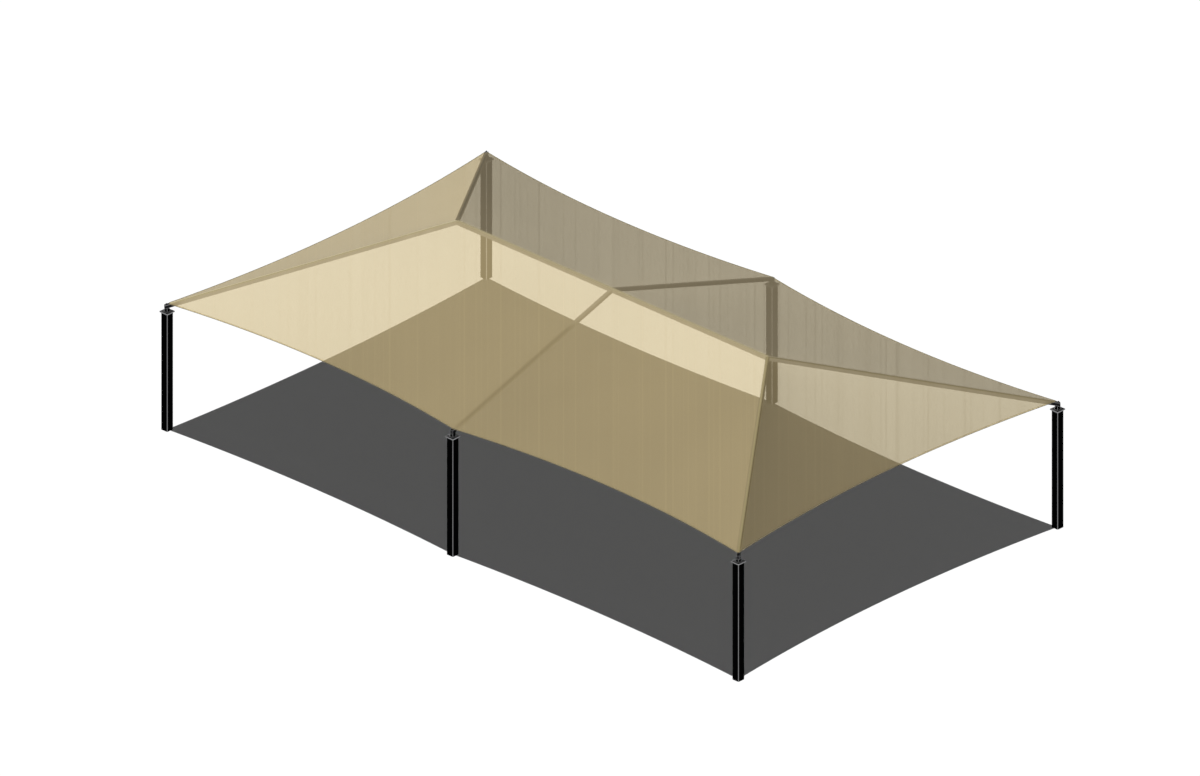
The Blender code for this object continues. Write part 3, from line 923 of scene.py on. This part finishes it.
def rounded_square(side, radius, steps=6):
    reach = side / 2 - radius
    points = []
    for quarter, (x, y) in enumerate(((1, 1), (-1, 1), (-1, -1), (1, -1))):
        for step in range(steps + 1):
            angle = (quarter + step / steps) * pi / 2
            points.append(Vector((x * reach + radius * cos(angle), y * reach + radius * sin(angle))))
    return points


def ring_stack(shape, rings):
    """Closed rings of points joined one to the next, with the first and last filled."""
    rows = add_grid(shape, rings, closed=True)
    shape.faces.new(rows[0][::-1])
    shape.faces.new(rows[-1])


def plate_rings():
    """Rings of a square plate with eased edges, its underside at the origin."""
    lower = ((0, PLATE_BEVEL), (PLATE_BEVEL * 0.3, PLATE_BEVEL * 0.3), (PLATE_BEVEL, 0))
    upper = tuple((PLATE_THICKNESS - height, inset) for height, inset in reversed(lower))
    rings = []
    for height, inset in lower + upper:
        outline = rounded_square(PLATE_SIDE - 2 * inset, PLATE_RADIUS - inset)
        rings.append([lifted(point, height) for point in outline])
    return rings


def round_rings(place, sides, levels, turn=0.0):
    return [
        [
            Vector((place.x + radius * cos(turn + 2 * pi * i / sides),
                    place.y + radius * sin(turn + 2 * pi * i / sides), height))
            for i in range(sides)
        ]
        for height, radius in levels
    ]


def plate_mesh(bolted):
    shape = bmesh.new()
    ring_stack(shape, plate_rings())
    seat = PLATE_THICKNESS + WASHER_HEIGHT
    top = seat + HEAD_HEIGHT
    washer = (
        (PLATE_THICKNESS - BOLT_SINK, WASHER_RADIUS), (seat - WASHER_EASE, WASHER_RADIUS),
        (seat, WASHER_RADIUS - WASHER_EASE),
    )
    head = (
        (seat - BOLT_SINK, HEAD_RADIUS), (top - HEAD_EASE, HEAD_RADIUS),
        (top, HEAD_RADIUS * HEAD_NARROWS),
    )
    for x, y in ((-1, -1), (-1, 1), (1, -1), (1, 1)) if bolted else ():
        place = Vector((x * BOLT_REACH, y * BOLT_REACH))
        ring_stack(shape, round_rings(place, 32, washer))
        ring_stack(shape, round_rings(place, 6, head, x * y * HEAD_TURN))
    return finished(shape, 35, outwards=True)


def stitch_line(shape, line):
    """Stitches along a line of points, each a long low eight-sided grain."""
    travelled, due = 0.0, STITCH_PITCH / 2
    for start, end in zip(line, line[1:]):
        length = (end - start).length
        along = (end - start) / length
        across = along.cross(UP).normalized()
        while due + STITCH_PITCH / 2 <= travelled + length:
            middle = start + along * (due - travelled)
            ends = [shape.verts.new(middle + along * (STITCH_LENGTH / 2 * way)) for way in (-1, 1)]
            ring = [
                shape.verts.new(middle + across * (STITCH_WIDTH / 2 * x) + UP * (STITCH_HEIGHT * z))
                for x, z in ((1, 0), (0, 1), (-1, 0), (0, -1))
            ]
            for i in range(4):
                shape.faces.new((ends[1], ring[i], ring[(i + 1) % 4]))
                shape.faces.new((ends[0], ring[(i + 1) % 4], ring[i]))
            due += STITCH_PITCH
        travelled += length


def hem_stitches():
    shape = bmesh.new()
    for found in (bay_hem_places(), end_hem_places()):
        rows = hem_grid(found)
        stitch_line(shape, [row[1] for row in rows])
        stitch_line(shape, [row[2].lerp(row[3], HEM_STITCH) for row in rows])
    mirrored(shape, (0, 1))
    return finished(shape, 80)


def seam_stitches():
    shape = bmesh.new()
    level = CLOTH_LIFT + SEAM_HEIGHT * 0.8
    run = HIP_RUN - TIP_STATION - (STITCH_MARGIN + PEAK_MARGIN)
    places = [TIP_STATION + STITCH_MARGIN + run * i / STITCH_STEPS for i in range(STITCH_STEPS + 1)]
    for side in (-SEAM_STITCH, SEAM_STITCH):
        stitch_line(shape, [
            on_axis(place) + lifted(HIP_ACROSS * side, level + draped(place, side)) for place in places
        ])
    height = RIDGE_TOP + CLOTH_LIFT + SEAM_HEIGHT * 0.8
    ends = (-HALF_RIDGE + STITCH_MARGIN, 0)
    stitch_line(shape, [Vector((reach, -SEAM_STITCH, height)) for reach in ends])
    mirrored(shape, (0, 1))
    return finished(shape, 80)


def weld_ring(shape, outline, centre, normals, toe):
    """A closed bead round a joint: each section bulges out of the corner between tube and plate."""
    rows = []
    for i, (point, outwards) in enumerate(zip(outline, normals)):
        size = WELD_SIZE * (1 + WELD_RIPPLE * (i % 2))
        rows.append([
            centre + (point + outwards * (size * out) + toe * (size * down)) for out, down in WELD_SECTION
        ])
    add_grid(shape, rows, closed=True, looped=True)


def outline_points(side, radius):
    """Evenly spaced points of a rounded square, with their outward directions."""
    corners = rounded_square(side, radius, 8)
    points, normals = [], []
    for start, end in zip(corners, corners[1:] + corners[:1]):
        length = (end - start).length
        count = max(1, round(length / WELD_PITCH))
        outwards = Vector((end.y - start.y, start.x - end.x)) / length
        for i in range(count):
            points.append(lifted(start.lerp(end, i / count), 0))
            normals.append(lifted(outwards, 0))
    smooth = [(normals[i - 1] + normals[i]).normalized() for i in range(len(normals))]
    return points, smooth


def weld_mesh(slope, way):
    """The beads at one post's top: post to cap plate, neck to base plate, and neck to rafter."""
    shape = bmesh.new()
    points, normals = outline_points(POST_SIDE, POST_RADIUS)
    weld_ring(shape, points, UP * POST_HEIGHT, normals, -UP)
    points, normals = outline_points(RAFTER_SIDE, RAFTER_RADIUS)
    weld_ring(shape, points, UP * NECK_BOTTOM, normals, UP)
    tilted = [point + UP * (slope * Vector(point[:2]).dot(way)) for point in points]
    top = EAVE_TOP - RAFTER_SIDE * Vector((1, slope)).length
    weld_ring(shape, tilted, UP * top, normals, -UP)
    return finished(shape, 50, outwards=True)


def tube_rings(points, radius, sides):
    """Rings round a path of points, for ring_stack."""
    rings = []
    for i, point in enumerate(points):
        along = (points[min(i + 1, len(points) - 1)] - points[max(i - 1, 0)]).normalized()
        across = along.cross(UP if abs(along.z) < 0.9 else Vector((1, 0, 0))).normalized()
        above = across.cross(along)
        size = radius[i] if isinstance(radius, list) else radius
        rings.append([
            point + (across * cos(2 * pi * j / sides) + above * sin(2 * pi * j / sides)) * size
            for j in range(sides)
        ])
    return rings


def cable_eye(shape, pin, start, towards):
    """A rope eye round the pin, its pressed sleeve, and the rope on to where the edge cable starts."""
    way = Vector((towards.x, towards.y, 0)).normalized()
    side = way.cross(UP)
    loop = []
    for i in range(EYE_STEPS + 1):
        angle = radians(EYE_OPENING + (360 - 2 * EYE_OPENING) * i / EYE_STEPS)
        loop.append(pin + (way * cos(angle) + side * sin(angle)) * EYE_RADIUS)
    neck = pin + way * (EYE_RADIUS + EYE_NECK)
    ring_stack(shape, tube_rings([neck] + loop + [neck], CABLE_DIAMETER / 2, ROPE_SIDES))
    reach = (start - neck).length
    run = (start - neck).normalized()
    path = [neck - run * SLEEVE_BEFORE + run * ((reach + SLEEVE_SPARE) * stop) for stop in SLEEVE_STOPS]
    ring_stack(shape, tube_rings(path, [SLEEVE_RADIUS * size for size in SLEEVE_SIZES], SLEEVE_SIDES))


def anchor_mesh(x_sign, y_sign):
    """The pin on the hip rafter's end and the eyes of the two edge cables that hook over it."""
    shape = bmesh.new()
    foot = lifted(FRONT_LEFT - HIP_ALONG * ANCHOR_BACK, EAVE_TOP - HIP_RISE * ANCHOR_BACK)
    place = Vector(foot[:2])
    for sides, turn, levels in PIN_PARTS:
        raised = [(foot.z + height, radius) for height, radius in levels]
        ring_stack(shape, round_rings(place, sides, raised, turn))
    rest = CABLE_DIAMETER / 2 + CABLE_LIFT
    for level, edge, reach in ((0, bay_edge, HALF_LENGTH), (1, end_edge, WIDTH)):
        start = edge(CABLE_START / reach, 0)
        beyond = edge(CABLE_START / reach * 2, 0)
        end = lifted(start, hip_height(start) + rest)
        height = foot.z + rest + level * EYE_SPACING
        cable_eye(shape, lifted(place, height), end, lifted(beyond - place, 0))
    for vert in shape.verts:
        vert.co *= Vector((-x_sign, -y_sign, 1))
    return finished(shape, 35, outwards=True)


# Stage, lights and camera

FLOOR_SIZE = 400
FLOOR_DROP = 0.002
FLOOR_SEEN, FLOOR_UNSEEN = 0.82, 0.05
WORLD_LIGHT, WORLD_SEEN = 0.01, 1.01
SUN_DISTANCE = 40

# The card's height, the points along each side, its grey, and its sides with how far each is drawn in
CARD_HEIGHT = 0.4
CARD_STEPS = 24
CARD_GREY = 0.5
CARD_SIDES = (
    ("front_left", "front_middle", (0, 1), 0.185), ("front_middle", "front_right", (0, 1), 0.185),
    ("front_right", "back_right", (-1, 0), 0.33), ("back_right", "back_middle", (0, -1), 0.2),
    ("back_middle", "back_left", (0, -1), 0.2), ("back_left", "front_left", (1, 0), 0.21),
)

# Each sun: the direction towards it, its strength, its angle in degrees and what it lights
SUNS = {
    "sun_overhead": ((0, 0, 1), 3.59, 0.3, "floor"),
    "floor_fill": ((0, 0, 1), 0.3, 0.3, "floor"),
    "cloth_key": ((-0.737, -3.13, 1.741), 3.76, 4, "cloth"),
    "cloth_back": ((0, 1, 0.05), 0.58, 4, "cloth"),
    "cloth_below": ((0.1, -0.3, -0.95), 1.6, 4, "cloth"),
    "roof_steel_front": ((0.2, -0.95, 0.25), 22, 8, "roof_steel"),
    "steel_front": ((0.69, -0.72, 0.25), 3.0, 8, "steel"),
    "steel_back": ((-0.69, 0.72, 0.25), 1.5, 8, "steel"),
}


def add_floor():
    g = Graph("pale_floor")
    camera_ray = g.add("ShaderNodeLightPath").outputs["Is Camera Ray"]
    shaders = {0: camera_ray, 1: g.diffuse(FLOOR_UNSEEN), 2: g.diffuse(FLOOR_SEEN)}
    material = g.finish(g.add("ShaderNodeMixShader", shaders).outputs[0])
    shape = bmesh.new()
    bmesh.ops.create_grid(shape, x_segments=1, y_segments=1, size=FLOOR_SIZE)
    floor = add_object("floor", finished(shape))
    floor.location.z = -FLOOR_DROP
    floor.data.materials.append(material)
    return floor


def add_shadow_card():
    """A sheet that nothing sees, and that only the overhead sun's shadow takes, for the floor's shadow."""
    shares = [i / CARD_STEPS for i in range(CARD_STEPS)]
    outline = []
    for start, end, inwards, sag in CARD_SIDES:
        side = [PLACES[start].lerp(PLACES[end], share) for share in shares]
        outline += [
            point + Vector(inwards) * 4 * sag * share * (1 - share) for point, share in zip(side, shares)
        ]
    shape = bmesh.new()
    centre = shape.verts.new((0, 0, CARD_HEIGHT))
    ring = [shape.verts.new(lifted(point, CARD_HEIGHT)) for point in outline]
    for i, vert in enumerate(ring):
        shape.faces.new((centre, vert, ring[(i + 1) % len(ring)]))
    card = add_object("shadow_card", finished(shape))
    g = Graph("card")
    card.data.materials.append(g.finish(g.diffuse(CARD_GREY)))
    card.visible_camera = card.visible_diffuse = card.visible_glossy = card.visible_transmission = False
    return card


def add_world():
    g = Graph("studio", world=True)
    camera_ray = g.add("ShaderNodeLightPath").outputs["Is Camera Ray"]
    strength = g.spread(camera_ray, 0.0, 1.0, WORLD_LIGHT, WORLD_SEEN)
    shade = g.add("ShaderNodeBackground", {"Color": (1, 1, 1, 1), "Strength": strength})
    bpy.context.scene.world = g.finish(shade.outputs[0])


def group(name, objects):
    collection = bpy.data.collections.new(name)
    for item in objects:
        collection.objects.link(item)
    return collection


def add_sun(name, towards, strength, angle, receivers, blockers=None):
    item = add_object(name, bpy.data.lights.new(name, "SUN"))
    item.data.energy = strength
    item.data.angle = radians(angle)
    item.data.use_shadow = blockers is not None
    item.data.cycles.max_bounces = 0
    item.rotation_euler = Vector(towards).to_track_quat("Z", "Y").to_euler()
    item.location = Vector(towards).normalized() * SUN_DISTANCE
    item.light_linking.receiver_collection = receivers
    if blockers:
        item.light_linking.blocker_collection = blockers


def add_camera():
    elevation, azimuth = radians(VIEW_ELEVATION), radians(VIEW_AZIMUTH)
    back = Vector((sin(azimuth) * cos(elevation), -cos(azimuth) * cos(elevation), sin(elevation)))
    right = Vector((cos(azimuth), sin(azimuth), 0))
    above = back.cross(right)
    camera = add_object("camera", bpy.data.cameras.new("camera"))
    camera.data.type = "ORTHO"
    camera.data.ortho_scale = VIEW_WIDTH
    camera.data.clip_end = VIEW_DEPTH
    turn = Matrix((right, above, back)).transposed()
    aim = right * VIEW_SHIFT[0] + above * VIEW_SHIFT[1]
    camera.matrix_world = Matrix.Translation(aim + back * VIEW_DISTANCE) @ turn.to_4x4()
    bpy.context.scene.camera = camera


# The object

cloth = cloth_material("shade_cloth", BASE, CLOTH_FACING, CLOTH_COVER, TUBE_SHADE_DEPTH)
doubled = cloth_material("shade_cloth_hem", HEM_TONE, CLOTH_FACING, HEM_COVER)
seam_cloth = cloth_material("shade_cloth_ridge", RIDGE_SEAM_TONE, SEAM_FACING, SEAM_COVER)
paint_upright = coat_material("powder_coat_post", CORNER_HIGHLIGHT)
paint_back_post = coat_material("powder_coat_back_post", BACK_CORNER_HIGHLIGHT)
paint_plate = plate_material("powder_coat_plate", PLATE_RIM_HIGHLIGHT)
rope = rope_material()
thread = thread_material()
fitting = fitting_material("coated_fitting", FITTING_GREY)

canopy = add_piece(
    "canopy_cloth", canopy_mesh(), cloth, "sand_fabric",
    "canopy_front_left", "canopy_front_right", "canopy_back_left", "canopy_back_right",
    "canopy_left_end", "canopy_right_end",
)
hems = [
    add_piece(name, hem_mesh(found, axis, far), doubled, "sand_fabric")
    for name, found, axis, far in (
        ("hem_front", bay_hem_places(), 0, False), ("hem_back", bay_hem_places(), 0, True),
        ("hem_left_end", end_hem_places(), 1, False), ("hem_right_end", end_hem_places(), 1, True),
    )
]
seams = [add_piece("seam_ridge", ridge_seam_mesh(), seam_cloth, "sand_fabric")]
for place, (x, y) in POSTS.items():
    if x:
        name = f"seam_hip_{place}"
        # Each hip seam's two tones are painted light and shade
        end_tone, bay_tone, past = LIT_SEAM_TONES[place]
        across = HIP_ACROSS * Vector((-x, -y))
        axis = across.dot(PLACES[place]) + past
        half = (bay_tone, (*across, 0), axis, SHADED_BORDERS.get(place, 0.0))
        tone = cloth_material(f"shade_cloth_{name}", end_tone, SEAM_FACING, SEAM_COVER, other_half=half)
        seams.append(add_piece(name, hip_seam_mesh(x, y), tone, "sand_fabric"))
seams.append(add_piece("stitching_hems", hem_stitches(), thread, "sand_fabric"))
seams.append(add_piece("stitching_seams", seam_stitches(), thread, "sand_fabric"))

hip_way = Vector((HIP_ALONG.x, HIP_ALONG.y, HIP_RISE)).normalized()
middle_way = Vector((0, 1, MIDDLE_RISE)).normalized()
for place, (x, y) in POSTS.items():
    way = hip_way * Vector((-x, -y, 1)) if x else middle_way * Vector((1, -y, 1))
    side = way.cross(UP).normalized()
    foot = lifted(PLACES[place], EAVE_TOP) - side.cross(way) * HALF_SIDE
    # The back left and back middle posts take brighter painted highlights on their corners
    repaint(f"post_{place}", paint_back_post if place in ("back_left", "back_middle") else paint_upright)
    repaint(f"neck_{place}", paint_upright)
    repaint(f"rafter_{place}", rafter_material(f"powder_coat_rafter_{place}", foot, side, way, *LIT_TONES[place]))
    for name, node, bolted, height, slot in (
        ("top_plate", "cap_plate", False, CAP_BOTTOM, "post_black"),
        ("bolted_plate", "base_plate", True, BASE_BOTTOM, "frame_black"),
    ):
        mesh = plate_mesh(bolted)
        mesh.transform(Matrix.Translation(lifted(PLACES[place], height)))
        add_piece(f"{name}_{place}", mesh, paint_plate, slot, f"{node}_{place}")
    mesh = weld_mesh(HIP_RISE if x else MIDDLE_RISE, way.xy.normalized())
    mesh.transform(Matrix.Translation(lifted(PLACES[place], 0)))
    add_piece(f"weld_{place}", mesh, fitting, "frame_black")
    if x:
        add_piece(f"corner_anchor_{place}", anchor_mesh(x, y), fitting, "frame_black")
ridge_foot, along_x, along_y = UP * (RIDGE_TOP - HALF_SIDE), Vector((1, 0, 0)), Vector((0, -1, 0))
repaint("ridge_beam", rafter_material("powder_coat_ridge", ridge_foot, along_y, along_x, *RIDGE_LIT_TONE))
for place in ("front_left", "front_right", "back_left", "back_right", "left_end", "right_end"):
    repaint(f"edge_cable_{place}", rope)

rafters = [f"rafter_{place}" for place in POSTS] + ["ridge_beam"]

floor = add_floor()
card = add_shadow_card()
add_world()
soft = [canopy] + hems + seams
steel = [item for item in bpy.data.objects if item.type == "MESH" and item not in soft + [floor, card]]
lit = {
    "floor": group("lit_floor", [floor]),
    "cloth": group("lit_cloth", soft),
    "steel": group("lit_steel", steel),
    "roof_steel": group("lit_roof_steel", [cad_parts[name] for name in rafters]),
}
blockers = group("shadow_blockers", [card])
for name, (towards, strength, angle, receivers) in SUNS.items():
    add_sun(name, towards, strength, angle, lit[receivers], blockers if name == "sun_overhead" else None)
add_camera()
bpy.context.scene.view_settings.view_transform = "Standard"
